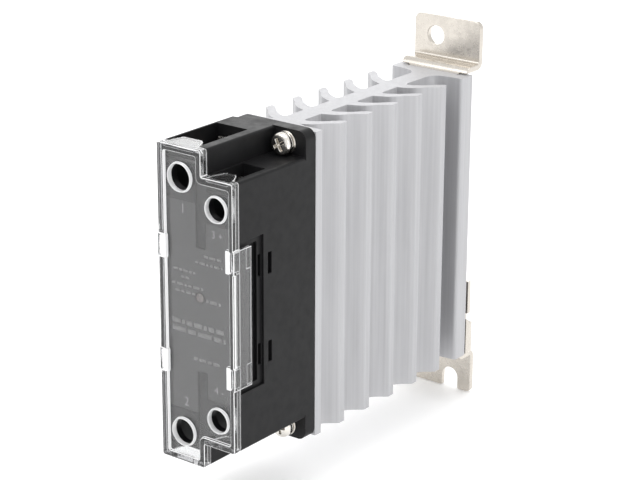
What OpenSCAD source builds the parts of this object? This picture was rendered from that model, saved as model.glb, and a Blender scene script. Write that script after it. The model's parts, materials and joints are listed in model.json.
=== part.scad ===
// Slim solid state relay with its own finned heat sink, for a 35 mm top-hat rail or a panel.
// Millimetres. X runs across the relay, Y from its front to the panel behind it, Z up.
// The origin is the middle of the face that bears on the rail, on the rail's centre line.

/* [Body] */
// Width of the moulded body and its cover
body_w = 29; // [22:0.5:40]
// Height of the tall column that holds the load terminals
body_h = 101.2; // [80:0.2:130]
// Width of that tall column
tall_col_w = 17; // [12:0.5:24]
// How much shorter the narrow column is, at each end
step_h = 7.9; // [4:0.1:15]
// Height of the body's middle above the rail's centre line
body_mid_z = 7.9; // [-20:0.1:20]
// Depth from the front of the cover to the heat sink
body_d = 39.3; // [30:0.1:60]
// Thickness of the mounting flange at the back of the body
flange_t = 4.8; // [3:0.1:8]
// Wall thickness of the housing
wall = 1.6; // [1.2:0.1:3]

/* [Terminals] */
// Sideways place of the two load terminals
load_x = -6.1; // [-10:0.1:0]
// Height of a load terminal above or below the middle
load_h = 40.9; // [30:0.1:46]
// Sideways place of the two input terminals
input_x = 7.8; // [4:0.1:10]
// Height of an input terminal above or below the middle
input_h = 33.6; // [25:0.1:40]
// Thread radius of a load terminal screw (M4)
load_thread_r = 2; // [1.5:0.05:3]
// Thread radius of an input terminal screw (M3.5)
input_thread_r = 1.75; // [1.25:0.05:2.5]

/* [Cover] */
// Thickness of the clear front plate
cover_t = 1.8; // [1:0.1:3]
// Depth of the cover's skirt
skirt_d = 3.2; // [2:0.1:6]
// How far the rim and the collars stand above the sunken middle
rim_d = 0.9; // [0.4:0.1:1.2]
// Wall of the collar round each screwdriver hole
collar_t = 0.4; // [0.3:0.05:1.5]
// Radius of a screwdriver hole over a load terminal
load_hole_r = 4.15; // [3:0.05:6]
// Radius of a screwdriver hole over an input terminal
input_hole_r = 3.7; // [3:0.05:6]
// Depth that the side wings reach back
wing_d = 8.2; // [5:0.1:12]

/* [Heat sink] */
// Height of the heat sink
sink_h = 100; // [60:1:150]
// Height of its middle above the rail's centre line
sink_mid_z = 7.5; // [-20:0.5:20]
// Depth of the heat sink, front face to rail face
sink_d = 85.2; // [40:0.1:140]
// Width over the fin tips
sink_w = 30; // [24:0.5:60]
// Thickness of the central web
web_t = 7; // [3:0.5:12]
// Number of swept fins on each side
fin_count = 5; // [2:1:9]
// Distance from one fin to the next
fin_pitch = 13.45; // [6:0.05:20]
// Thickness of the rear wall
rear_wall_t = 6.3; // [3:0.1:10]

/* [Mounting plate] */
// Thickness of the steel plate
plate_t = 2; // [1:0.1:3]
// Depth from the rail face to the panel
rail_d = 7.5; // [7.5, 15]
// Width of the tabs that stick out above and below
tab_w = 26.4; // [16:0.1:30]
// How far each tab reaches beyond the heat sink
tab_h = 16.5; // [10:0.5:30]
// Sideways offset of the fixing hole and the slot
fixing_x = 4.6; // [0:0.1:8]
// Distance of the fixing hole from the end of the heat sink
fixing_out = 9.6; // [6:0.1:20]
// Radius of the fixing hole and half the width of the slot
fixing_r = 3.25; // [2:0.05:4]
// Travel of the sprung rail latch
latch_travel = 3.2; // [2:0.1:5]

/* [Hidden] */
$fn = 48;
front_y = -sink_d - body_d;
half_w = body_w / 2;
half_h = body_h / 2;
step_x = -half_w + tall_col_w;
sink_front = -sink_d;
sink_top = sink_mid_z + sink_h / 2;
sink_bottom = sink_mid_z - sink_h / 2;
flange_front = body_d - flange_t;
nose_front = 1.9;
nose_back = 3.3;
nose_margin = 0.95;
pocket_front = 4;
load_pocket_back = 26;
input_pocket_back = 18.5;
load_floor_h = 33.6;
input_floor_h = 28.2;
load_plate_front = 23.2;
input_plate_front = 15.2;
flange_screw_x = 7.5;
flange_screw_h = 46.4;
led_x = 0.3;
led_h = 4.1;
board_front = 10;
board_back = 11.6;
plate_gap = 0.4;
bend_r = 0.8;
rail_half = 17.5;
rivet_z = -36.6;
rivet_x = 7;
black = [0.09, 0.09, 0.1];
steel = [0.78, 0.75, 0.71];
nickel = [0.8, 0.77, 0.72];
clear = [0.9, 0.92, 0.95, 0.35];
copper = [0.8, 0.5, 0.32];

// ---- helpers --------------------------------------------------------------------------

// A flat shape drawn in X and Z, extruded from depth d0 to d1 behind the cover's front.
module slab(d0, d1) {
  translate([0, front_y + d1, body_mid_z]) rotate([90, 0, 0]) linear_extrude(d1 - d0) children();
}

// The same in row Y and Z.
module slab_y(y0, y1) {
  translate([0, y1, 0]) rotate([90, 0, 0]) linear_extrude(y1 - y0) children();
}

// A box from x0 to x1, depth d0 to d1 behind the front, and height h0 to h1 from the middle.
module block(x0, x1, d0, d1, h0, h1) {
  translate([x0, front_y + d0, body_mid_z + h0]) cube([x1 - x0, d1 - d0, h1 - h0]);
}

// A box in the row's own Y and Z.
module box(x0, x1, y0, y1, z0, z1) {
  translate([x0, y0, z0]) cube([x1 - x0, y1 - y0, z1 - z0]);
}

// A rod along Y, from depth d0 to d1.
module rod(x, h, r, d0, d1) {
  translate([x, front_y + d0, body_mid_z + h]) rotate([-90, 0, 0]) cylinder(h = d1 - d0, r = r);
}

// A rod along Y in the row's own Y and Z.
module rod_y(x, z, r, y0, y1, r2 = 0) {
  translate([x, y0, z]) rotate([-90, 0, 0]) cylinder(h = y1 - y0, r1 = r, r2 = r2 > 0 ? r2 : r);
}

// Draws its children, and again upside down about the body's middle.
module both_ends() {
  children();
  translate([0, 0, 2 * body_mid_z]) mirror([0, 0, 1]) children();
}

// Draws its children, and again mirrored left to right.
module both_sides() {
  children();
  mirror([1, 0, 0]) children();
}

// A rectangle with round corners.
module round_rect(x0, x1, z0, z1, r) {
  translate([x0 + r, z0]) square([x1 - x0 - 2 * r, z1 - z0]);
  translate([x0, z0 + r]) square([x1 - x0, z1 - z0 - 2 * r]);
  for (x = [x0 + r, x1 - r]) {
    for (z = [z0 + r, z1 - r]) {
      translate([x, z]) circle(r = r);
    }
  }
}

// The stepped front outline of the body, drawn in by a margin.
module outline(margin, r) {
  round_rect(-half_w + margin, step_x - margin, -half_h + margin, half_h - margin, r);
  round_rect(-half_w + margin, half_w - margin, -half_h + step_h + margin, half_h - step_h - margin, r);
}

// ---- moulded body ---------------------------------------------------------------------

// Hollows for one pair of terminals: the wire pocket, the screwdriver hole and the slot for the lead.
module terminal_hollows() {
  block(-13.2, -1.1, pocket_front, load_pocket_back, load_floor_h, half_h + 1);
  rod(load_x, load_h, load_hole_r, nose_front - 1, pocket_front + 1);
  rod(load_x, load_h, 2.6, load_pocket_back - 1, load_pocket_back + 2.5);
  block(-10.8, -1.4, load_plate_front - 0.2, load_plate_front + 1.4, 31, load_floor_h + 1);
  block(-13.2, -0.6, nose_back - 0.5, pocket_front + 1.4, half_h - 1.8, half_h + 1);
  block(3.3, 11.9, pocket_front, input_pocket_back, input_floor_h, half_h);
  rod(input_x, input_h, input_hole_r, nose_front - 1, pocket_front + 1);
  rod(input_x, input_h, 2.3, input_pocket_back - 1, input_pocket_back + 1.4);
  block(3.9, 11.7, input_plate_front - 0.2, input_plate_front + 1, 26, input_floor_h + 1);
  block(3.3, 12.9, nose_back - 0.5, pocket_front + 1.4, half_h - step_h - 1.8, half_h);
  // the front wall ends short of the body's end, so a wire can be seen as it goes in
  block(-12.8, -0.8, nose_front - 0.5, pocket_front + 0.1, half_h - 4.7, half_h + 1);
  block(3.6, 12.2, nose_front - 0.5, pocket_front + 0.1, half_h - step_h - 4.6, half_h - step_h + 0.5);
}

// The recess in one side that takes the cover's wing, with its snap slots.
module side_recess() {
  block(half_w - 0.9, half_w + 1, 0, 14.2, -24, 24);
  block(half_w - 2, half_w + 1, nose_back + 0.5, 12, -22.2, 22.2);
  both_ends() {
    block(half_w - 2.2, half_w + 1, 12.5, 13.9, 10.8, 17.6);
    block(half_w - 1.6, half_w + 1, 16.3, 18, 10.8, 17.6);
  }
}

// The sealed room inside, open at the back for the base plate.
module inner_room() {
  block(-11.4, 11.4, pocket_front, 37, -26.6, 26.6);
  block(-12.9, 0.9, pocket_front + 16, 37, -32, 32);
  block(-12.9, 12.9, 30, 37, -41, 41);
  block(4.4, 12.9, 21.4, 37, -40.8, 40.8);
  block(-12.6, 12.6, 36, body_d + 1, -41.6, 41.6);
}

module housing() {
  color(black) {
    difference() {
      union() {
        slab(nose_front, nose_back) outline(nose_margin, 0.6);
        slab(nose_back, flange_front) outline(0, 0.8);
        slab(flange_front, body_d) round_rect(-half_w, half_w, -half_h, half_h, 3);
      }
      both_ends() terminal_hollows();
      both_sides() side_recess();
      inner_room();
      // seats and grooves in the front face
      slab(nose_front - 0.5, nose_front + 0.25) label_outline(0);
      both_ends() block(-0.8, 2.7, nose_front - 0.5, nose_front + 0.6, 20, half_h - 2);
      rod(led_x, led_h, 1.55, 0, 6);
      both_ends() rod(flange_screw_x, flange_screw_h, 2.2, flange_front - 1, body_d + 1);
    }
    // ledges that the control board rests on
    both_sides() block(10.4, 11.9, board_back + 0.05, board_back + 1.4, -20, 20);
  }
}

// The flat seat on the front between the terminals, drawn in by a margin.
module label_outline(margin) {
  difference() {
    union() {
      translate([-12.8 + margin, -33.8 + margin]) square([14 - 2 * margin, 67.6 - 2 * margin]);
      translate([-2, -28.2 + margin]) square([14.4 - margin, 56.4 - 2 * margin]);
    }
    for (side = [-1, 1]) {
      translate([0.95, side * 30]) square([3.7 + 2 * margin, 20.4 + 2 * margin], center = true);
    }
    translate([led_x, led_h]) circle(r = 1.8 + margin);
  }
}

module rating_label() {
  color([0.16, 0.16, 0.17]) slab(nose_front + 0.07, nose_front + 0.25) label_outline(0.15);
}

module light_pipe() {
  color([0.95, 0.5, 0.4, 0.6]) {
    rod(led_x, led_h, 1.5, nose_front, 5.2);
    rod(led_x, led_h, 2.1, pocket_front + 0.02, 5.2);
  }
}

// ---- electronics ----------------------------------------------------------------------

module indicator_led() {
  color([0.85, 0.1, 0.08]) {
    translate([led_x, front_y + 6.9, body_mid_z + led_h]) sphere(r = 1.45);
    rod(led_x, led_h, 1.45, 6.9, 9);
    rod(led_x, led_h, 1.7, 8.6, board_front);
  }
}

module control_board() {
  color([0.1, 0.35, 0.16]) {
    difference() {
      block(-11.2, 11.2, board_front, board_back, -25.8, 25.8);
      both_ends() rod(input_x, 23.6, 0.9, board_front - 1, board_back + 1);
    }
  }
}

module optocoupler() {
  color(black) block(3.4, 9.9, board_front - 3.6, board_front, 6, 14.6);
  color(nickel) {
    for (h = [7.2, 9.8, 12.4]) {
      block(2.7, 3.4, board_front - 1.9, board_front, h, h + 0.9);
      block(9.9, 10.6, board_front - 1.9, board_front, h, h + 0.9);
    }
  }
}

module snubber_capacitor() {
  color([0.75, 0.55, 0.12]) block(-10.2, 0.6, board_back, board_back + 9, -20, -11);
}

module snubber_resistor() {
  color([0.45, 0.62, 0.75]) {
    translate([-7, front_y + board_back + 2.2, body_mid_z - 6]) cylinder(h = 11, r = 2);
    translate([-7, front_y + board_back + 2.2, body_mid_z - 8]) cylinder(h = 15, r = 0.4);
    block(-7.4, -6.6, board_back, board_back + 2.4, -8.4, -7.6);
    block(-7.4, -6.6, board_back, board_back + 2.4, 6.6, 7.4);
  }
}

module varistor() {
  color([0.1, 0.25, 0.6]) rod(-4.6, 18, 4.6, board_back, board_back + 3.4);
}

module driver_chip() {
  color(black) block(3.6, 8.6, board_front - 1.7, board_front, -10, -5);
}

module ceramic_substrate() {
  color([0.93, 0.93, 0.9]) block(-11, 11, 35.4, 36.1, -16, 16);
}

module thyristor_chips() {
  color([0.3, 0.3, 0.34]) both_ends() block(-8, 1, 34.9, 35.4, 2, 11);
}

module base_plate() {
  color([0.82, 0.83, 0.84]) block(-12.5, 12.5, 36.1, 39.1, -41.5, 41.5);
}

module thermal_pad() {
  color([0.88, 0.88, 0.9]) block(-12.5, 12.5, 39.1, body_d, -41.5, 41.5);
}

// A load terminal's lead: the plate under the screw, its tapped boss, and the strap to the chip.
module load_lead() {
  color(copper) {
    difference() {
      union() {
        block(-10.6, -1.6, load_plate_front, load_plate_front + 1.2, 29.5, 47.3);
        rod(load_x, load_h, 3.4, load_plate_front + 1, load_plate_front + 2.6);
      }
      rod(load_x, load_h, load_thread_r + 0.06, load_plate_front - 1, load_plate_front + 4);
    }
    block(-10.6, -1.6, load_plate_front, 34.9, 28.3, 29.5);
    block(-6.6, -1.6, 33.7, 34.9, 4, 29.5);
  }
}

module load_lead_top() {
  load_lead();
}

module load_lead_bottom() {
  translate([0, 0, 2 * body_mid_z]) mirror([0, 0, 1]) load_lead();
}

// An input terminal's lead: the plate, its tapped boss, and the pin into the board.
module input_lead() {
  color(copper) {
    difference() {
      union() {
        block(4.1, 11.3, input_plate_front, input_plate_front + 0.8, 23, 39.4);
        rod(input_x, input_h, 2.9, input_plate_front + 0.6, input_plate_front + 2.4);
      }
      rod(input_x, input_h, input_thread_r + 0.06, input_plate_front - 1, input_plate_front + 4);
    }
    rod(input_x, 23.6, 0.6, board_front - 0.8, input_plate_front + 0.4);
  }
}

module input_lead_top() {
  input_lead();
}

module input_lead_bottom() {
  translate([0, 0, 2 * body_mid_z]) mirror([0, 0, 1]) input_lead();
}

// ---- terminal screws and clamps -------------------------------------------------------

// A square clamp washer with a clearance hole; its back is at depth d.
module clamp(x, h, half, t, thread_r, d) {
  color(nickel) {
    difference() {
      slab(d - t, d) {
        round_rect(x - half, x + half, h - half, h + half, 0.6);
      }
      rod(x, h, thread_r + 0.06, d - t - 1, d + 1);
    }
  }
}

// A pan head screw with a cross recess, a split washer under its head and its tip at depth d1.
module terminal_screw(x, h, head_r, head_t, washer_t, thread_r, d0, d1) {
  color(nickel) {
    difference() {
      union() {
        rod(x, h, head_r, d0 + 0.5, d0 + head_t);
        translate([x, front_y + d0, body_mid_z + h]) rotate([-90, 0, 0])
          cylinder(h = 0.5, r1 = head_r - 0.5, r2 = head_r);
        rod(x, h, head_r - 0.3, d0 + head_t - 0.01, d0 + head_t + washer_t);
        rod(x, h, thread_r, d0 + head_t, d1 - 0.5);
        translate([x, front_y + d1 - 0.51, body_mid_z + h]) rotate([-90, 0, 0])
          cylinder(h = 0.5, r1 = thread_r, r2 = thread_r - 0.5);
      }
      block(x - head_r * 0.6, x + head_r * 0.6, d0 - 1, d0 + 1.4, h - 0.4, h + 0.4);
      block(x - 0.4, x + 0.4, d0 - 1, d0 + 1.4, h - head_r * 0.6, h + head_r * 0.6);
    }
  }
}

module load_clamp_top() {
  clamp(load_x, load_h, 5, 1.2, load_thread_r, load_plate_front - 0.3);
}

module load_clamp_bottom() {
  clamp(load_x, -load_h, 5, 1.2, load_thread_r, load_plate_front - 0.3);
}

module load_screw_top() {
  terminal_screw(load_x, load_h, 3.9, 2.6, 0.95, load_thread_r, 18.1, 27.2);
}

module load_screw_bottom() {
  terminal_screw(load_x, -load_h, 3.9, 2.6, 0.95, load_thread_r, 18.1, 27.2);
}

module input_clamp_top() {
  clamp(input_x, input_h, 3.7, 0.9, input_thread_r, input_plate_front - 0.3);
}

module input_clamp_bottom() {
  clamp(input_x, -input_h, 3.7, 0.9, input_thread_r, input_plate_front - 0.3);
}

module input_screw_top() {
  terminal_screw(input_x, input_h, 3.3, 2.1, 0.75, input_thread_r, 11.1, 18.9);
}

module input_screw_bottom() {
  terminal_screw(input_x, -input_h, 3.3, 2.1, 0.75, input_thread_r, 11.1, 18.9);
}

// ---- clear cover ----------------------------------------------------------------------

// A finger tab over a wire pocket: it narrows towards its rounded back edge.
module finger_tab(x0, x1, taper, d1, top) {
  translate([0, 0, body_mid_z + top - 1.2]) linear_extrude(1.2)
    polygon([[x0, front_y + 1], [x1, front_y + 1], [x1, front_y + 4],
             [x1 - taper, front_y + d1 - 0.6], [x1 - taper - 0.8, front_y + d1],
             [x0 + taper / 2 + 0.8, front_y + d1], [x0 + taper / 2, front_y + d1 - 0.6],
             [x0, front_y + 4]]);
}

// The sunken middle of the cover's front, round where it turns round the step.
module sunk_outline() {
  left = -half_w + 2.5;
  round_rect(left, step_x - 1.9, -half_h + 2.1, half_h - 2.1, 0.8);
  round_rect(left, half_w - 1.5, -half_h + step_h + 2.3, half_h - step_h - 2.3, 0.8);
  for (side = [0, 1]) {
    mirror([0, side]) translate([step_x - 2, half_h - step_h - 2.4]) difference() {
      square([2.1, 2.1]);
      translate([2.1, 2.1]) circle(r = 2);
    }
  }
}

module terminal_cover() {
  color(clear) {
    difference() {
      union() {
        difference() {
          slab(0, skirt_d) outline(0, 0.8);
          slab(cover_t, skirt_d + 1) outline(0.7, 0.4);
          slab(-1, rim_d) sunk_outline();
        }
        both_ends() {
          rod(load_x, load_h, load_hole_r + collar_t, 0, cover_t);
          rod(input_x, input_h, input_hole_r + collar_t, 0, cover_t);
          finger_tab(-12.5, -1, 2.2, 8.6, half_h);
          finger_tab(3.9, 12, 2.2, 8.2, half_h - step_h);
          both_sides() block(11.6, half_w + 0.4, 0, skirt_d, 14.8, 22.1);
        }
        both_sides() block(half_w - 0.6, half_w + 0.4, 0.7, wing_d, -22.1, 22.1);
        both_sides() both_ends() block(half_w - 0.85, half_w, wing_d - 1.8, wing_d, 15.2, 21.7);
      }
      both_ends() rod(load_x, load_h, load_hole_r, -1, skirt_d + 2);
      both_ends() rod(input_x, input_h, input_hole_r, -1, skirt_d + 2);
      // slits beside the snap blocks and a window in the lower rim
      both_sides() both_ends() block(half_w - 1.1, half_w - 0.75, -1, cover_t + 2, 15.4, 21.5);
      both_sides() block(10, half_w - 0.85, cover_t, skirt_d + 1, -30, 30);
      block(-9.5, -3, 1.9, 2.6, -half_h - 1, -half_h + 1.5);
    }
  }
}

// ---- heat sink ------------------------------------------------------------------------

// One fin, swept back to its tip; y0 is the back of its root.
module fin(y0) {
  tip = sink_w / 2;
  root = web_t / 2;
  polygon([[root - 1, y0 - 0.6], [root, y0], [9.2, y0 + 3.2], [12.2, y0 + 6.7], [14.1, y0 + 7.9],
           [tip - 0.2, y0 + 7.4], [tip, y0 + 5.6], [14.2, y0 + 4.1], [11.6, y0 + 1.9],
           [9.8, y0 - 0.4], [7.6, y0 - 2.3], [root, y0 - 4.2], [root - 1, y0 - 4.2]]);
}

// The fillet between the web and the front plate, on one side.
module front_fillet() {
  root = web_t / 2;
  polygon([[root - 1, sink_front + 1], [8, sink_front + 1], [8, sink_front + 3.2],
           [root, sink_front + 4.6], [root - 1, sink_front + 4.6]]);
}

// The thick rear wall, with a shallow groove that takes the steel plate.
module rear_wall() {
  root = web_t / 2;
  t = rear_wall_t;
  polygon([[-root, -t - 2.6], [root, -t - 2.6], [9, -t - 0.4], [13.8, -t], [half_w, -t + 0.7],
           [half_w, -0.6], [half_w - 0.6, 0], [10.4, 0], [10.4, -plate_t], [-10.4, -plate_t],
           [-10.4, 0], [-half_w + 0.6, 0], [-half_w, -0.6], [-half_w, -t + 0.7], [-13.8, -t],
           [-9, -t - 0.4]]);
}

module heat_sink() {
  color([0.8, 0.8, 0.82]) {
    difference() {
      translate([0, 0, sink_bottom]) linear_extrude(sink_h) {
        translate([-web_t / 2, sink_front + 1]) square([web_t, sink_d - rear_wall_t - 1]);
        translate([-half_w - 0.2, sink_front]) square([2 * half_w + 0.4, 3.2]);
        both_sides() {
          front_fillet();
          for (i = [0 : fin_count - 1]) {
            fin(sink_front + 7.6 + i * fin_pitch);
          }
        }
        rear_wall();
      }
      both_ends() rod_y(flange_screw_x, body_mid_z + flange_screw_h, 2.05, sink_front - 1,
                        sink_front + 4.3);
      for (z = [36, -14]) {
        rod_y(0, z, 2.05, -14, 0);
      }
      for (x = [-rivet_x, rivet_x]) {
        rod_y(x, rivet_z, 2.2, -3.4, 0);
      }
    }
  }
}

module flange_screws() {
  color(nickel) {
    both_ends() {
      difference() {
        union() {
          rod(flange_screw_x, flange_screw_h, 3.5, 30.6, 32.6);
          translate([flange_screw_x, front_y + 30, body_mid_z + flange_screw_h])
            rotate([-90, 0, 0]) cylinder(h = 0.61, r1 = 2.9, r2 = 3.5);
          rod(flange_screw_x, flange_screw_h, 2, 32.5, body_d + 4.2);
        }
        block(flange_screw_x - 2.1, flange_screw_x + 2.1, 29, 31.4, flange_screw_h - 0.4,
              flange_screw_h + 0.4);
        block(flange_screw_x - 0.4, flange_screw_x + 0.4, 29, 31.4, flange_screw_h - 2.1,
              flange_screw_h + 2.1);
      }
    }
  }
}

// A flat ring round a flange screw.
module ring(r, d0, d1) {
  both_ends() {
    difference() {
      rod(flange_screw_x, flange_screw_h, r, d0, d1);
      rod(flange_screw_x, flange_screw_h, 2.05, d0 - 1, d1 + 1);
    }
  }
}

module flange_spring_washers() {
  color(nickel) ring(3.3, 32.6, 33.7);
}

module flange_flat_washers() {
  color(nickel) ring(3.55, 33.7, flange_front);
}

// ---- mounting plate and rail latch ----------------------------------------------------

// The side of the double bend that takes the plate back to the panel, in Y and Z.
module bend_profile() {
  outer_r = bend_r + plate_t;
  top = plate_gap + plate_t;
  polygon(concat(
    [[-plate_t, -4]],
    [for (a = [180 : -15 : 90]) [bend_r + outer_r * cos(a), top - outer_r + outer_r * sin(a)]],
    [for (a = [-90 : 15 : 0])
      [rail_d - plate_t - bend_r + bend_r * cos(a), top + bend_r + bend_r * sin(a)]],
    [[rail_d - plate_t, 6], [rail_d, 6]],
    [for (a = [0 : -15 : -90]) [rail_d - outer_r + outer_r * cos(a), plate_gap + outer_r * (1 + sin(a))]],
    [for (a = [90 : 15 : 180]) [bend_r * (1 + cos(a)), plate_gap - bend_r * (1 - sin(a))]],
    [[0, -4]]));
}

// The bend of one tab, on height 0 at the end of the heat sink.
module tab_bend() {
  difference() {
    translate([-tab_w / 2, 0, 0]) rotate([90, 0, 90]) linear_extrude(tab_w) bend_profile();
    both_sides() box(10.2, tab_w, -plate_t - 1, 1, -10, plate_gap);
  }
}

module mounting_plate() {
  color(steel) {
    difference() {
      union() {
        box(-10.2, 10.2, -plate_t, 0, sink_bottom + 3, sink_top - 3);
        translate([0, 0, sink_top]) tab_bend();
        translate([0, 0, sink_bottom]) mirror([0, 0, 1]) tab_bend();
        slab_y(rail_d - plate_t, rail_d) {
          round_rect(-tab_w / 2, tab_w / 2, sink_top + 4, sink_top + tab_h, 2.5);
          round_rect(-tab_w / 2, tab_w / 2, sink_bottom - tab_h, sink_bottom - 4, 1.6);
          translate([-tab_w / 2, sink_top + 4]) square([tab_w, 4]);
          translate([-tab_w / 2, sink_bottom - 8]) square([tab_w, 4]);
        }
        // hooks that hang over the rail's upper edge
        both_sides() {
          box(4.5, 9.5, -1, 2.7, rail_half + 0.3, rail_half + 1.9);
          box(4.5, 9.5, 1.2, 2.7, rail_half - 2.2, rail_half + 1.9);
        }
      }
      rod_y(-fixing_x, sink_top + fixing_out, fixing_r, rail_d - plate_t - 1, rail_d + 1);
      rod_y(fixing_x, sink_bottom - fixing_out - 2.8, fixing_r, rail_d - plate_t - 1, rail_d + 1);
      box(fixing_x - fixing_r, fixing_x + fixing_r, rail_d - plate_t - 1, rail_d + 1,
          sink_bottom - tab_h - 5, sink_bottom - fixing_out - 2.8);
      for (z = [36, -14]) {
        rod_y(0, z, 2.1, -plate_t - 1, 1);
        rod_y(0, z, 2.1, -1.95, 0.01, 4.05);
      }
      for (x = [-rivet_x, rivet_x]) {
        rod_y(x, rivet_z, 1.55, -plate_t - 1, 1);
      }
    }
  }
}

module plate_screws() {
  color(nickel) {
    for (z = [36, -14]) {
      difference() {
        union() {
          rod_y(0, z, 2, -13, -1.9);
          rod_y(0, z, 2, -1.9, -0.05, 3.85);
        }
        box(-2, 2, -1.3, 1, z - 0.4, z + 0.4);
        box(-0.4, 0.4, -1.3, 1, z - 2, z + 2);
      }
    }
  }
}

module latch_rivets() {
  color(steel) {
    for (x = [-rivet_x, rivet_x]) {
      rod_y(x, rivet_z, 1.5, -plate_t - 0.1, 2.3);
      rod_y(x, rivet_z, 2.1, -plate_t - 1, -plate_t - 0.02);
      rod_y(x, rivet_z, 2.6, 2.2, 3.4);
    }
  }
}

module rail_latch() {
  color(steel) {
    difference() {
      union() {
        box(-half_w, half_w, 0.3, 1.9, -39, -29);
        box(-half_w + 0.3, half_w - 0.3, 0.3, 2.9, -30.4, -28.4);
        box(-half_w + 0.3, half_w - 0.3, 1.3, 2.9, -28.5, rail_half * -1 + 1.4);
        both_sides() {
          box(half_w - 1.05, half_w, 0.3, 3.8, -42.4, -31);
        }
        box(-3.4, 3.4, 0.5, 6.8, -34.2, -32.8);
      }
      // side notches for a screwdriver, with a sloping lower edge
      both_sides() {
        translate([half_w - 1.6, 0, -31]) rotate([90, 0, 90]) linear_extrude(3)
          polygon([[-1, 2.4], [5, -1.2], [5, 3.2], [-1, 3.2]]);
      }
      for (x = [-rivet_x, rivet_x]) {
        rod_y(x, rivet_z, 1.58, 0, 3);
        rod_y(x, rivet_z + latch_travel + 0.2, 1.58, 0, 3);
        box(x - 1.58, x + 1.58, 0, 3, rivet_z, rivet_z + latch_travel + 0.2);
      }
    }
  }
}

module latch_spring() {
  color(nickel) {
    translate([0, 4.3, sink_bottom - plate_gap + 0.05]) {
      difference() {
        cylinder(h = 8.15, r = 2);
        translate([0, 0, -1]) cylinder(h = 11, r = 1.5);
      }
    }
  }
}

// ---- assembly -------------------------------------------------------------------------

housing();
rating_label();
light_pipe();
indicator_led();
control_board();
optocoupler();
snubber_capacitor();
snubber_resistor();
varistor();
driver_chip();
load_lead_top();
load_lead_bottom();
input_lead_top();
input_lead_bottom();
base_plate();
thermal_pad();
ceramic_substrate();
thyristor_chips();
flange_screws();
flange_spring_washers();
flange_flat_washers();
heat_sink();
mounting_plate();
plate_screws();
latch_rivets();
rail_latch();
latch_spring();
terminal_cover();
load_clamp_top();
load_screw_top();
load_clamp_bottom();
load_screw_bottom();
input_clamp_top();
input_screw_top();
input_clamp_bottom();
input_screw_bottom();
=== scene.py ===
import json
import math

import bmesh
import bpy
from mathutils import Matrix, Vector


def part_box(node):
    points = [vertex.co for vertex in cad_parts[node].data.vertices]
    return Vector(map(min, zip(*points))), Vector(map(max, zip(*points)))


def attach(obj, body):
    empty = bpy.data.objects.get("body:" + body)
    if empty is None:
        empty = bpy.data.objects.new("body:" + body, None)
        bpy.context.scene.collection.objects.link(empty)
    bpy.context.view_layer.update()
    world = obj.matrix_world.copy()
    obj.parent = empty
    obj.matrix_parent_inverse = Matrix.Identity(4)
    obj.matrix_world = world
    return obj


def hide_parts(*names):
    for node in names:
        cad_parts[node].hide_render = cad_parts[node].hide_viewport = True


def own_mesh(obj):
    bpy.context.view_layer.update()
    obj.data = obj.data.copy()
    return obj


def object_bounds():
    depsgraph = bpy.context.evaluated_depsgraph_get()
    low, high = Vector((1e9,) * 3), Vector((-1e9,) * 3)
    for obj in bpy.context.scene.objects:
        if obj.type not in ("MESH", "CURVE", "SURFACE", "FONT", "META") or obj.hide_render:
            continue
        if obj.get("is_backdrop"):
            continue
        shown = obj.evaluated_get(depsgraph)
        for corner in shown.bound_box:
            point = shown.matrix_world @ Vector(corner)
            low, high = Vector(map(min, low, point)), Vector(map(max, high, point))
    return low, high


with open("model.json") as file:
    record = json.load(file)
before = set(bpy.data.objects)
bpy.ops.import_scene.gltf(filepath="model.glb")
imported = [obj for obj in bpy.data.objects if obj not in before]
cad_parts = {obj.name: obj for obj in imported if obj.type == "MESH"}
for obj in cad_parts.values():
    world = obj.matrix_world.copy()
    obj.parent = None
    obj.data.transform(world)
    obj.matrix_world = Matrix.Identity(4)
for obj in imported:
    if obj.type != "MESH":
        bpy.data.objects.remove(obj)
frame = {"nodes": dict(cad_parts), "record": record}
cad_low, cad_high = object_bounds()
nodes = frame["nodes"]

# Sizes are in millimetres in the row frame, and are turned into metres when a mesh is made.
MM = 0.001
BODY_FRONT_Y = -124.5
BODY_MID_Z = 7.9


# ---- materials ------------------------------------------------------------------------


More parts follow.
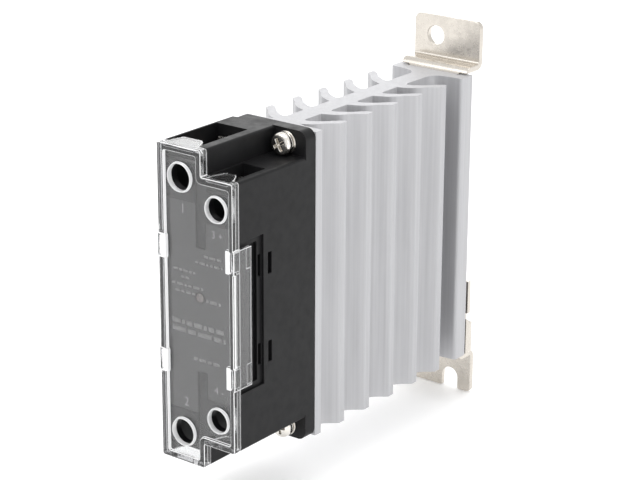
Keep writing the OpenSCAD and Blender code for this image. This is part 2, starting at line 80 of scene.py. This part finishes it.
class Look:
    """A Principled material with the procedural parts that this object needs."""

    def __init__(self, name, color, roughness, metallic=0.0, ior=1.5):
        self.material = bpy.data.materials.new(name)
        self.material.use_nodes = True
        self.tree = self.material.node_tree
        self.shader = self.tree.nodes["Principled BSDF"]
        self.color = color
        self.height = None
        self.shader.inputs["Base Color"].default_value = (*color, 1)
        self.shader.inputs["Roughness"].default_value = roughness
        self.shader.inputs["Metallic"].default_value = metallic
        self.shader.inputs["IOR"].default_value = ior
        self.material.diffuse_color = (*color, 1)
        self.coords = self.tree.nodes.new("ShaderNodeTexCoord").outputs["Object"]

    def link(self, a, b):
        self.tree.links.new(a, b)

    def noise(self, size_mm, stretch=(1, 1, 1), detail=3.0):
        """A noise pattern whose blobs are about size_mm across, drawn out by stretch."""
        mapping = self.tree.nodes.new("ShaderNodeMapping")
        mapping.inputs["Scale"].default_value = [1 / s for s in stretch]
        texture = self.tree.nodes.new("ShaderNodeTexNoise")
        texture.inputs["Scale"].default_value = 1 / (size_mm * MM)
        texture.inputs["Detail"].default_value = detail
        self.link(self.coords, mapping.inputs["Vector"])
        self.link(mapping.outputs["Vector"], texture.inputs["Vector"])
        return texture.outputs["Fac"]

    def spread(self, value, low, high):
        """Turns a pattern from about 0.3 to 0.7 into low to high."""
        node = self.tree.nodes.new("ShaderNodeMapRange")
        node.inputs["From Min"].default_value = 0.3
        node.inputs["From Max"].default_value = 0.7
        node.inputs["To Min"].default_value = low
        node.inputs["To Max"].default_value = high
        self.link(value, node.inputs["Value"])
        return node.outputs["Result"]

    def vary_color(self, pattern, darker, lighter):
        node = self.tree.nodes.new("ShaderNodeMix")
        node.data_type = "RGBA"
        node.inputs["A"].default_value = (*[c * darker for c in self.color], 1)
        node.inputs["B"].default_value = (*[min(1, c * lighter) for c in self.color], 1)
        self.link(self.spread(pattern, 0, 1), node.inputs["Factor"])
        self.link(node.outputs["Result"], self.shader.inputs["Base Color"])
        return self

    def vary_roughness(self, pattern, low, high):
        self.link(self.spread(pattern, low, high), self.shader.inputs["Roughness"])
        return self

    def bump(self, pattern, depth_mm, strength=1.0):
        node = self.tree.nodes.new("ShaderNodeBump")
        node.inputs["Distance"].default_value = depth_mm * MM
        node.inputs["Strength"].default_value = strength
        self.link(pattern, node.inputs["Height"])
        if self.height is not None:
            self.link(self.height, node.inputs["Normal"])
        self.height = node.outputs["Normal"]
        self.link(self.height, self.shader.inputs["Normal"])
        return self

    def set(self, **values):
        for name, value in values.items():
            self.shader.inputs[name.replace("_", " ")].default_value = value
        return self


def plastic(name, color, roughness, grain_mm=0.22, depth_mm=0.012):
    look = Look(name, color, roughness)
    look.vary_color(look.noise(9), 0.86, 1.12)
    look.vary_roughness(look.noise(3), roughness - 0.07, roughness + 0.07)
    return look.bump(look.noise(grain_mm, detail=2), depth_mm).bump(look.noise(14), 0.03)


def metal(name, color, low, high, line=(1, 1, 1), line_mm=0.12, depth_mm=0.002):
    look = Look(name, color, low, metallic=1.0)
    look.vary_color(look.noise(6), 0.93, 1.04)
    look.vary_roughness(look.noise(1.6), low, high)
    return look.bump(look.noise(line_mm, line, detail=2), depth_mm).bump(look.noise(5), 0.02)


LOOKS = {}
LOOKS["black_moulding"] = plastic("black_moulding", (0.009, 0.009, 0.0098), 0.44)
LOOKS["black_moulding"].set(Specular_IOR_Level=0.18)
LOOKS["label_film"] = plastic("label_film", (0.023, 0.0225, 0.024), 0.36, 0.5, 0.004)
LOOKS["component_black"] = plastic("component_black", (0.03, 0.03, 0.032), 0.5)
LOOKS["board"] = plastic("board", (0.02, 0.14, 0.05), 0.3, 0.8, 0.006)
LOOKS["capacitor_box"] = plastic("capacitor_box", (0.55, 0.36, 0.05), 0.34, 0.6, 0.006)
LOOKS["resistor_body"] = plastic("resistor_body", (0.2, 0.36, 0.5), 0.3, 0.6, 0.01)
LOOKS["varistor_body"] = plastic("varistor_body", (0.03, 0.1, 0.42), 0.28, 1.2, 0.02)
LOOKS["ceramic"] = plastic("ceramic", (0.84, 0.84, 0.81), 0.4, 0.15, 0.004)
LOOKS["silicon"] = plastic("silicon", (0.12, 0.12, 0.16), 0.2, 0.5, 0.001)
LOOKS["thermal_film"] = plastic("thermal_film", (0.68, 0.68, 0.7), 0.65, 0.4, 0.01)
LOOKS["nickel"] = metal("nickel", (0.8, 0.77, 0.72), 0.14, 0.26)
LOOKS["plated_steel"] = metal(
    "plated_steel", (0.64, 0.6, 0.545), 0.2, 0.34, (1, 1, 9), 0.1, 0.0015
)
LOOKS["tinned_copper"] = metal("tinned_copper", (0.84, 0.81, 0.76), 0.2, 0.34, (1, 1, 6))
LOOKS["base_metal"] = metal("base_metal", (0.72, 0.72, 0.73), 0.3, 0.42, (12, 1, 1))

# Blasted and anodised: a fine even grain, with faint lines along the extrusion.
anodised = Look("anodised", (0.5, 0.5, 0.514), 0.5, metallic=0.5)
anodised.vary_color(anodised.noise(0.7, (1, 1, 120), 4), 0.95, 1.05)
anodised.vary_roughness(anodised.noise(2.5, (1, 1, 12)), 0.46, 0.6)
anodised.bump(anodised.noise(0.5, (1, 1, 160)), 0.014).bump(anodised.noise(0.12), 0.006)
LOOKS["anodised"] = anodised

# Clear polycarbonate; a whiter, less clear copy of it as a painted highlight where its moulded
# edges catch the light; and the rim's front, tinted grey as painted shade.
clear = Look("clear_cover", (0.985, 0.99, 0.995), 0.03, ior=1.5)
clear.set(Transmission_Weight=0.99)
clear.vary_roughness(clear.noise(4), 0.015, 0.05).bump(clear.noise(7), 0.012)
LOOKS["clear_cover"] = clear
# Painted highlight: a whiter, mostly opaque copy of the clear plastic, for faces that catch the
# light.
edge_highlight = Look("clear_cover_edge_painted_highlight", (0.98, 0.982, 0.99), 0.16, ior=1.5)
edge_highlight.set(Transmission_Weight=0.18)
edge_highlight.vary_roughness(edge_highlight.noise(2), 0.1, 0.25).bump(edge_highlight.noise(0.6), 0.01)
LOOKS["clear_cover_edge_painted_highlight"] = edge_highlight
# Painted shade: the rim's front faces get a grey tint that darkens them, on an otherwise clear
# part.
rim_shade = Look("clear_cover_rim_painted_shade", (0.32, 0.32, 0.33), 0.05, ior=1.5)
rim_shade.set(Transmission_Weight=0.97)
rim_shade.vary_roughness(rim_shade.noise(4), 0.03, 0.08).bump(rim_shade.noise(5), 0.012)
LOOKS["clear_cover_rim_painted_shade"] = rim_shade

pipe = Look("light_pipe", (0.9, 0.74, 0.7), 0.06, ior=1.49)
pipe.set(Transmission_Weight=0.85)
LOOKS["light_pipe"] = pipe.vary_roughness(pipe.noise(1), 0.04, 0.1).bump(pipe.noise(1), 0.01)
lens = Look("led_lens", (0.6, 0.03, 0.02), 0.12, ior=1.5)
lens.set(Transmission_Weight=0.3)
LOOKS["led_lens"] = lens.vary_roughness(lens.noise(1), 0.08, 0.16).bump(lens.noise(1), 0.01)

# Ink: slightly uneven where the pad laid it down.
ink = Look("print", (0.27, 0.265, 0.265), 0.5)
ink.vary_color(ink.noise(0.5), 0.8, 1.15).bump(ink.noise(0.3), 0.003)
LOOKS["print"] = ink


def material(name):
    return LOOKS[name].material


# ---- CAD nodes that stay: rounded edges and finishes ----------------------------------

slot_of = {s["node"]: s["material_slot"] for s in frame["record"]["subparts"]}


def soften(obj, width_mm, segments=2, angle=34, highlight_slot=None, dissolve=False):
    """Rounds the sharp edges with modifiers, which leave the CAD mesh as it is."""
    weld = obj.modifiers.new("Weld", "WELD")
    weld.merge_threshold = 0.002 * MM
    if dissolve:
        flat = obj.modifiers.new("Flat", "DECIMATE")
        flat.decimate_type = "DISSOLVE"
        flat.angle_limit = math.radians(0.4)
    bevel = obj.modifiers.new("Bevel", "BEVEL")
    bevel.width = width_mm * MM
    bevel.segments = segments
    bevel.limit_method = "ANGLE"
    bevel.angle_limit = math.radians(angle)
    bevel.use_clamp_overlap = False
    bevel.miter_outer = "MITER_ARC"
    bevel.harden_normals = False
    # On the cover the rounded edges take the painted highlight material as well.
    if highlight_slot is not None:
        bevel.material = highlight_slot
    normals = obj.modifiers.new("Normals", "WEIGHTED_NORMAL")
    normals.keep_sharp = True
    return obj


EDGE_MM = {
    "rating_label": 0.03,
    "terminal_cover": 0.2,
    "mounting_plate": 0.3,
    "rail_latch": 0.15,
    "latch_rivets": 0.3,
    "plate_screws": 0.12,
    "flange_flat_washers": 0.14,
    "base_plate": 0.2,
    "thermal_pad": 0.04,
    "ceramic_substrate": 0.06,
    "thyristor_chips": 0.04,
    "control_board": 0.08,
    "snubber_capacitor": 0.35,
}
DISSOLVED = ("mounting_plate", "control_board", "rail_latch")
PLAIN_EDGE_MM = 0.1
COVER_HOLES = ((-6.1, 40.9, 4.15), (7.8, 33.6, 3.7))  # X, height from the middle, radius
COLLAR_T, RIM_D = 0.4, 0.9
SNAP_BLOCK_X, SNAP_BLOCK_H = (11.6, 13.4), (14.8, 22.1)
# Cover material slots: 1 for the painted highlight, 2 for the painted grey shade on the rim's
# front.
EDGE_HIGHLIGHT_SLOT, RIM_SHADE_SLOT = 1, 2


def shade_cover(cover):
    """Collars, snap blocks and the rim's inner wall get the painted highlight that lit edges show;
    its front gets a grey tint as painted shade.
    """
    for face in cover.data.polygons:
        x, y, z = face.center / MM
        depth, height = y - BODY_FRONT_Y, abs(z - BODY_MID_Z)
        for hole_x, hole_h, radius in COVER_HOLES:
            off = math.hypot(x - hole_x, height - hole_h)
            if radius - 0.15 < off < radius + COLLAR_T + 0.1:
                face.material_index = EDGE_HIGHLIGHT_SLOT
        in_front = depth < 0.05
        on_rim_wall = 0.05 < depth < RIM_D - 0.05 and abs(face.normal.y) < 0.3
        across_block = SNAP_BLOCK_X[0] < abs(x) < SNAP_BLOCK_X[1]
        on_block = in_front and across_block and SNAP_BLOCK_H[0] < height < SNAP_BLOCK_H[1]
        on_collar = face.material_index == EDGE_HIGHLIGHT_SLOT
        # Snap-block fronts and the rim's inner wall get the painted highlight, like the collar
        # walls above.
        if on_block or (on_rim_wall and abs(x) < 13.2 and face.normal.x > 0.5):
            face.material_index = EDGE_HIGHLIGHT_SLOT
        # The remaining front faces get the painted grey shade.
        elif in_front and face.normal.y < -0.9 and not on_collar:
            face.material_index = RIM_SHADE_SLOT


for name, node in nodes.items():
    node.data.materials.clear()
    node.data.materials.append(material(slot_of[name]))
    for face in node.data.polygons:
        face.use_smooth = True
    if name == "terminal_cover":
        # The cover gets a painted highlight material and a painted rim shade material.
        node.data.materials.append(material("clear_cover_edge_painted_highlight"))
        node.data.materials.append(material("clear_cover_rim_painted_shade"))
        shade_cover(node)
        soften(node, EDGE_MM[name], highlight_slot=EDGE_HIGHLIGHT_SLOT)
    else:
        soften(node, EDGE_MM.get(name, PLAIN_EDGE_MM), dissolve=name in DISSOLVED)


# ---- mesh helpers ---------------------------------------------------------------------


def piece(name, shape, slot, body, stands_for=(), look=None):
    """A new piece from (points in millimetres, faces), which rides on a CAD body."""
    points, faces = shape
    mesh = bpy.data.meshes.new(name)
    mesh.from_pydata([[c * MM for c in p] for p in points], [], faces)
    tidy = bmesh.new()
    tidy.from_mesh(mesh)
    bmesh.ops.recalc_face_normals(tidy, faces=tidy.faces)
    tidy.to_mesh(mesh)
    tidy.free()
    for face in mesh.polygons:
        face.use_smooth = True
    mesh.materials.append(material(look or slot))
    obj = bpy.data.objects.new(name, mesh)
    bpy.context.scene.collection.objects.link(obj)
    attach(obj, body)
    if stands_for:
        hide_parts(*stands_for)
    return obj


def join(*shapes):
    points, faces = [], []
    for more, rows in shapes:
        start = len(points)
        points += more
        faces += [tuple(start + i for i in row) for row in rows]
    return points, faces


def loft(rings, closed=False):
    """A skin over rings of points; its ends are capped unless it closes on itself."""
    count, many = len(rings[0]), len(rings)
    points = [p for ring in rings for p in ring]
    faces = []
    for i in range(many if closed else many - 1):
        a, b = i * count, (i + 1) % many * count
        for j in range(count):
            k = (j + 1) % count
            faces.append((a + j, a + k, b + k, b + j))
    if not closed:
        faces.append(tuple(range(count)))
        faces.append(tuple((many - 1) * count + j for j in range(count)))
    return points, faces


def curve_through(points, steps):
    """A smooth line through points, with steps points for each span."""
    padded = [points[0], *points, points[-1]]
    line = []
    for a, b, c, d in zip(padded, padded[1:], padded[2:], padded[3:]):
        for i in range(steps):
            t = i / steps
            line.append(
                tuple(
                    0.5
                    * (
                        2 * q
                        + (r - p) * t
                        + (2 * p - 5 * q + 4 * r - s) * t * t
                        + (3 * q - p - 3 * r + s) * t * t * t
                    )
                    for p, q, r, s in zip(a, b, c, d)
                )
            )
    return [*line, points[-1]]


# ---- screws, washers and spring -------------------------------------------------------


def cross_recess(u, v, arm, half):
    """How deep the cross recess is at (u, v), from 0 to 1, with sloping walls."""

    def inside(distance, slope):
        return min(1.0, max(0.0, distance / slope + 0.5))

    across = inside(half - abs(u), 0.16) * inside(arm - abs(v), 0.3)
    along = inside(half - abs(v), 0.16) * inside(arm - abs(u), 0.3)
    return max(across, along)


def screw(x, z, front, head_r, head_t, thread_r, back, pitch, turn):
    """A pan head screw along Y, from its head's front to its tip, with a real thread."""
    count, rings = 96, []

    def ring(radius_at, depth_at):
        points = []
        for k in range(count):
            a = 2 * math.pi * k / count
            r = radius_at(a)
            y = depth_at(r * math.cos(a - turn), r * math.sin(a - turn))
            points.append((x + r * math.cos(a), front + y, z + r * math.sin(a)))
        rings.append(points)

    def plain(r, y):
        ring(lambda a: r, lambda u, v: y)

    dome = 0.16 * head_r
    for i in range(26):
        r = 0.1 + (0.86 * head_r - 0.1) * i / 25
        fall = dome * (r / head_r) ** 2
        ring(
            lambda a: r,
            lambda u, v: fall
            + min(1.5, 0.62 * head_t) * cross_recess(u, v, 0.56 * head_r, 0.13 * head_r),
        )
    for share, y in ((0.93, 0.2), (0.975, 0.29), (0.995, 0.4), (1.0, 0.52)):
        plain(head_r * share, head_r * y)
    plain(head_r, head_t - 0.12)
    plain(head_r - 0.12, head_t)
    plain(thread_r, head_t + 0.02)
    length = back - front - head_t - 0.5
    steps = int(length / (pitch / 6))
    for i in range(1, steps):
        y = head_t + length * i / steps
        ring(
            lambda a: thread_r
            - 0.42 * pitch * (1 - abs(2 * ((y / pitch - a / (2 * math.pi)) % 1) - 1)),
            lambda u, v: y,
        )
    plain(thread_r - 0.4, back - front - 0.4)
    plain(thread_r - 0.75, back - front)
    return loft(rings)


def split_washer(x, z, front, back, inner_r, outer_r, start):
    """A square-section spring washer with a slanted cut."""
    gap, slant, steps, c = math.radians(13), 0.22, 72, 0.1
    section = [
        (inner_r + c, front), (outer_r - c, front), (outer_r, front + c),
        (outer_r, back - c), (outer_r - c, back), (inner_r + c, back),
        (inner_r, back - c), (inner_r, front + c),
    ]  # fmt: skip
    middle, rings = (front + back) / 2, []
    for i in range(steps + 1):
        a = start + gap / 2 + (2 * math.pi - gap) * i / steps
        rings.append(
            [
                (
                    x + r * math.cos(a + slant * (y - middle)),
                    y,
                    z + r * math.sin(a + slant * (y - middle)),
                )
                for r, y in section
            ]
        )
    return loft(rings)


def coil(x, y, low, high, mean_r, wire_r, turns):
    """A compression spring along Z with one closed turn at each end."""
    steps, around, rings = 26, 10, []
    closed = 2.1 * wire_r
    for i in range(int(turns * steps) + 1):
        t = i / steps
        if t < 1:
            z = closed * t
        elif t > turns - 1:
            z = high - low - 2 * wire_r - closed * (turns - t)
        else:
            share = (t - 1) / (turns - 2)
            z = closed + share * (high - low - 2 * wire_r - 2 * closed)
        a = 2 * math.pi * t
        rings.append(
            [
                (
                    x + (mean_r + wire_r * math.cos(b)) * math.cos(a),
                    y + (mean_r + wire_r * math.cos(b)) * math.sin(a),
                    low + wire_r + z + wire_r * math.sin(b),
                )
                for b in [2 * math.pi * k / around for k in range(around)]
            ]
        )
    return loft(rings)


TERMINALS = {
    # place X, height from the middle, head radius, head depth, washer depth, thread radius,
    # head's front and tip as depths behind the cover's front, pitch
    "load": (-6.1, 40.9, 3.9, 2.6, 0.95, 2.0, 18.1, 27.2, 0.7),
    "input": (7.8, 33.6, 3.3, 2.1, 0.75, 1.75, 11.1, 18.9, 0.6),
}
for kind, (x, height, head_r, head_t, washer_t, thread_r, d0, d1, pitch) in TERMINALS.items():
    for end, side in (("top", 1), ("bottom", -1)):
        z, y0 = BODY_MID_Z + side * height, BODY_FRONT_Y + d0
        turned = 0.35 if end == "top" else 1.1
        shape = join(
            screw(x, z, y0, head_r, head_t, thread_r, BODY_FRONT_Y + d1, pitch, turned),
            split_washer(
                x, z, y0 + head_t, y0 + head_t + washer_t, thread_r + 0.08, head_r - 0.3, 2.2
            ),
        )
        name = f"{kind}_screw_{end}"
        piece(f"{name}_detailed", shape, "nickel", name, [name])

FLANGE_SCREW_X, FLANGE_SCREW_H = 7.5, 46.4
FLANGE_HEAD_Y, FLANGE_TIP_Y = BODY_FRONT_Y + 30, BODY_FRONT_Y + 43.5
FLANGE_HEAD_R, FLANGE_HEAD_T, FLANGE_WASHER_T = 3.5, 2.6, 1.1
heads, rings = [], []
for side, turned in ((1, 0.5), (-1, 0.15)):
    z = BODY_MID_Z + side * FLANGE_SCREW_H
    washer_y = FLANGE_HEAD_Y + FLANGE_HEAD_T
    heads.append(
        screw(
            FLANGE_SCREW_X, z, FLANGE_HEAD_Y, FLANGE_HEAD_R, FLANGE_HEAD_T, 2.0, FLANGE_TIP_Y,
            0.7, turned,
        )  # fmt: skip
    )
    rings.append(
        split_washer(FLANGE_SCREW_X, z, washer_y, washer_y + FLANGE_WASHER_T, 2.1, 3.3, 3.6)
    )
piece("flange_screws_detailed", join(*heads), "nickel", "relay", ["flange_screws"])
piece("flange_washers_split", join(*rings), "nickel", "relay", ["flange_spring_washers"])

SPRING_Y = 4.3
low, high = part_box("latch_spring")
spring = piece(
    "latch_spring_coil",
    coil(0, SPRING_Y, low.z / MM, high.z / MM, 1.72, 0.26, 7),
    "nickel",
    "relay",
    ["latch_spring"],
)
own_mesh(spring)


# ---- heat sink ------------------------------------------------------------------------

SINK_FRONT, WEB, FIN_COUNT, FIN_PITCH = -85.2, 3.5, 5, 13.45


def fin_side(back_y, first):
    """The right half's outline round one fin, from its root in front to its root behind."""
    y = back_y
    front = [(7.6, y - 2.3), (9.8, y - 0.4), (11.6, y + 1.9), (14.2, y + 4.1)]
    front.insert(0, (5.05, y - 3.48) if first else (WEB, y - 4.2))
    line = curve_through(front, 5)
    # the tip's flat end carries three fine grooves
    grooves, steps = 3, 8
    line.append((14.86, y + 4.75))
    for i in range(grooves * steps + 1):
        t = i / (grooves * steps)
        dip = 0.16 * (0.5 - 0.5 * math.cos(2 * math.pi * grooves * t))
        line.append((15.0 - dip, y + 5.0 + 2.3 * t))
    line.append((14.72, y + 7.7))
    line += curve_through([(14.1, y + 7.85), (12.2, y + 6.4), (9.2, y + 3.2), (6, y + 1)], 5)
    line += curve_through([(4.3, y + 0.45), (3.7, y + 1.1), (WEB, y + 2)], 4)
    return line


half = [(14.5, SINK_FRONT), (14.7, SINK_FRONT + 0.2), (14.7, SINK_FRONT + 3.0)]
half += [(14.5, SINK_FRONT + 3.2), (8, SINK_FRONT + 3.2)]
for i in range(FIN_COUNT):
    half += fin_side(SINK_FRONT + 7.6 + i * FIN_PITCH, i == 0)
half += curve_through([(WEB, -11.5), (3.9, -9.4), (5.6, -7.6), (9, -6.7), (13.6, -6.3)], 5)
half += [(14.2, -6.0), (14.5, -5.5), (14.5, -0.6), (14.3, -0.15), (13.9, 0)]
half += [(10.4, 0), (10.4, -2)]
outline = half + [(-x, y) for x, y in reversed(half)]
sink_low, sink_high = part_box("heat_sink")
sink = piece(
    "heat_sink_extrusion",
    loft([[(x, y, z / MM) for x, y in outline] for z in (sink_low.z, sink_high.z)]),
    "anodised",
    "relay",
    ["heat_sink"],
)
rounded = sink.modifiers.new("Bevel", "BEVEL")
rounded.width = 0.09 * MM
rounded.segments = 2
rounded.limit_method = "ANGLE"
rounded.angle_limit = math.radians(60)
rounded.use_clamp_overlap = False
sink.modifiers.new("Normals", "WEIGHTED_NORMAL").keep_sharp = True


# ---- print on the rating label --------------------------------------------------------

LABEL_Y = BODY_FRONT_Y + 1.9 + 0.07


def numeral(name, text, x, z, size):
    """A terminal's number or sign, as thin raised ink."""
    curve = bpy.data.curves.new(name, "FONT")
    curve.body = text
    curve.size = size * MM
    curve.align_x = "CENTER"
    curve.align_y = "CENTER"
    curve.extrude = 0.012 * MM
    source = bpy.data.objects.new(name + "_source", curve)
    bpy.context.scene.collection.objects.link(source)
    source.matrix_world = Matrix.Translation(
        Vector((x, LABEL_Y - 0.01, z)) * MM
    ) @ Matrix.Rotation(math.radians(90), 4, "X")
    bpy.context.view_layer.update()
    graph = bpy.context.evaluated_depsgraph_get()
    mesh = bpy.data.meshes.new_from_object(source.evaluated_get(graph))
    mesh.transform(source.matrix_world)
    mesh.name = name
    mesh.materials.clear()
    mesh.materials.append(material("print"))
    obj = bpy.data.objects.new(name, mesh)
    bpy.context.scene.collection.objects.link(obj)
    bpy.data.objects.remove(source)
    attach(obj, "relay")
    return obj


def bar(x0, x1, z0, z1, thick=0.024):
    """One flat bar of ink on the label."""
    y0, y1 = LABEL_Y - thick / 2 - 0.01, LABEL_Y + thick / 2 - 0.01
    points = [(x, y, z) for y in (y0, y1) for x, z in ((x0, z0), (x1, z0), (x1, z1), (x0, z1))]
    faces = [(0, 1, 2, 3), (4, 5, 6, 7), (0, 1, 5, 4), (1, 2, 6, 5), (2, 3, 7, 6), (3, 0, 4, 7)]
    return points, faces


def dashes(x0, x1, z, height, lengths, gap=0.5):
    """A line of bars that stands for a line of small print."""
    shapes, x, i = [], x0, 0
    while x < x1 - 0.3:
        end = min(x1, x + lengths[i % len(lengths)])
        shapes.append(bar(x, end, z - height / 2, z + height / 2))
        x, i = end + gap, i + 1
    return shapes


numeral("terminal_number_1", "1", -5.9, 38.8, 4.2)
numeral("terminal_number_2", "2", -5.7, -23.3, 4.2)
numeral("terminal_number_3", "3 +", 7.3, 33.0, 3.4)
numeral("terminal_number_4", "4 -", 7.4, -16.5, 3.4)
lines = dashes(2.1, 8.8, 25.6, 0.8, (1.6, 2.4)) + dashes(-1.4, 9.3, 23.2, 0.8, (1.2, 2.2, 0.8))
lines += dashes(-10.0, -1.4, 19.5, 0.8, (1.8, 1.1)) + dashes(-7.1, -3.0, 17.4, 0.8, (1.4,))
lines += dashes(-10.6, 2.4, 14.9, 0.8, (1.3, 2.6, 1.0)) + dashes(-9.5, -1.6, 12.7, 0.8, (2.0, 1.2))
lines += dashes(2.8, 9.3, 11.6, 1.1, (0.9, 2.9))
lines += dashes(-10.8, 10.0, 2.8, 1.5, (3.2, 1.1, 2.2), 0.7)
lines += dashes(-10.8, 10.2, 0.2, 1.5, (5.4, 3.1), 0.8)
lines += dashes(-2.5, 8.3, -8.0, 1.0, (1.6, 2.7), 0.6)
piece("label_print", join(*lines), "label_film", "relay", look="print")


# ---- floor, light and camera ----------------------------------------------------------

FLOOR_HALF, FLOOR_GAP = 6.0, 0.0003  # metres
floor_z = cad_low.z - FLOOR_GAP
corners = [(-FLOOR_HALF, -FLOOR_HALF), (FLOOR_HALF, -FLOOR_HALF)]
corners += [(FLOOR_HALF, FLOOR_HALF), (-FLOOR_HALF, FLOOR_HALF)]
floor_mesh = bpy.data.meshes.new("floor")
floor_mesh.from_pydata([(x, y, floor_z) for x, y in corners], [], [(0, 1, 2, 3)])
floor = bpy.data.objects.new("floor", floor_mesh)
bpy.context.scene.collection.objects.link(floor)
paper = Look("paper", (0.92, 0.92, 0.92), 0.8)
paper.vary_color(paper.noise(60), 0.99, 1.01)
paper.set(Emission_Color=(1, 1, 1, 1), Emission_Strength=0.2)
floor_mesh.materials.append(paper.material)
floor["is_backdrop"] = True

world = bpy.data.worlds.new("studio")
world.use_nodes = True
world.node_tree.nodes["Background"].inputs["Color"].default_value = (1, 1, 1, 1)
world.node_tree.nodes["Background"].inputs["Strength"].default_value = 1.0
bpy.context.scene.world = world


def softbox(name, place, target, width, height, power):
    """An area lamp at place, in metres, that faces target."""
    lamp = bpy.data.lights.new(name, "AREA")
    lamp.shape = "RECTANGLE"
    lamp.size, lamp.size_y, lamp.energy = width, height, power
    obj = bpy.data.objects.new(name, lamp)
    obj.location = place
    aim = Vector(target) - Vector(place)
    obj.rotation_euler = aim.to_track_quat("-Z", "Y").to_euler()
    bpy.context.scene.collection.objects.link(obj)


softbox("key", (-0.35, -0.75, 0.75), (0, -0.06, 0.01), 0.6, 0.5, 2.0)
softbox("side", (0.95, -0.1, 0.35), (0, -0.04, 0.01), 0.5, 0.6, 0.7)
softbox("back", (-0.52, 0.62, 0.32), (0, -0.06, 0.04), 0.6, 0.45, 0.95)
softbox("over", (0.05, 0.1, 0.95), (0, -0.05, 0.01), 0.7, 0.7, 2.7)

CAMERA_PLACE = (0.3824, -0.56125, 0.23438)
camera_data = bpy.data.cameras.new("camera")
camera_data.sensor_width = 36
camera_data.lens = 117.2
camera_data.clip_start, camera_data.clip_end = 0.01, 20
camera = bpy.data.objects.new("camera", camera_data)
azimuth, elevation, roll = math.radians(37.56), math.radians(19.35), math.radians(0.28)
back = Vector(
    (
        math.sin(azimuth) * math.cos(elevation),
        -math.cos(azimuth) * math.cos(elevation),
        math.sin(elevation),
    )
)
right = Vector((0, 0, 1)).cross(back).normalized()
up = back.cross(right)
right, up = (
    right * math.cos(roll) + up * math.sin(roll),
    up * math.cos(roll) - right * math.sin(roll),
)
turn = Matrix((right, up, back)).transposed().to_4x4()
camera.matrix_world = Matrix.Translation(Vector(CAMERA_PLACE)) @ turn
bpy.context.scene.collection.objects.link(camera)
bpy.context.scene.camera = camera
bpy.context.scene.view_settings.view_transform = "Standard"

low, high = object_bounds()
